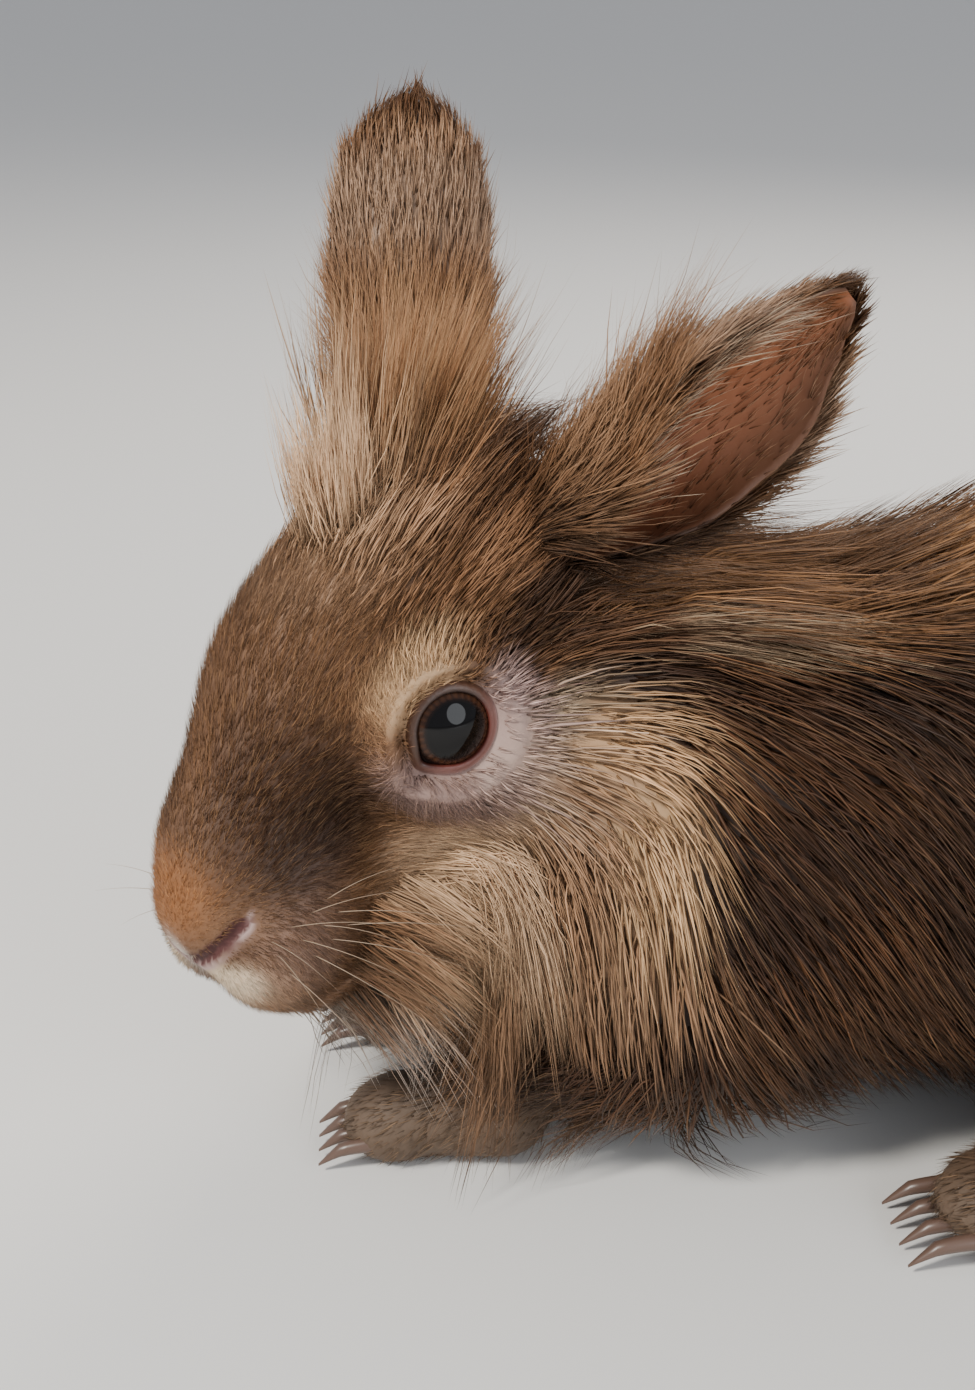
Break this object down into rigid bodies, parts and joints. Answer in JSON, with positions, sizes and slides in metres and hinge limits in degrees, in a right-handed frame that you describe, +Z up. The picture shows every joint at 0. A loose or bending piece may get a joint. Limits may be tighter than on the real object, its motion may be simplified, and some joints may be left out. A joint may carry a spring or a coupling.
{
  "type": "lionhead rabbit",
  "caption": "Life-size still model of a lionhead rabbit, crouched with its head low and turned, one ear up and one laid back.",
  "frame": {"origin": "centre of the bounding box at floor level", "axes": "+Z up, the nose points to -Y and the animal's left side is +X"},
  "size_m": [0.1358, 0.2644, 0.1604],
  "materials": {
    "coat": "long soft fur",
    "eye": "wet gloss"
  },
  "bodies": {
    "root": {"head": "coat", "neck": "coat", "torso": "coat", "tail": "coat", "ear_left": "coat", "ear_right": "coat", "foreleg_left": "coat", "foreleg_right": "coat", "forepaw_left": "coat", "forepaw_right": "coat", "hindleg_left": "coat", "hindleg_right": "coat", "hindfoot_left": "coat", "hindfoot_right": "coat", "eye_left": "eye", "eye_right": "eye"}
  },
  "joints": []
}
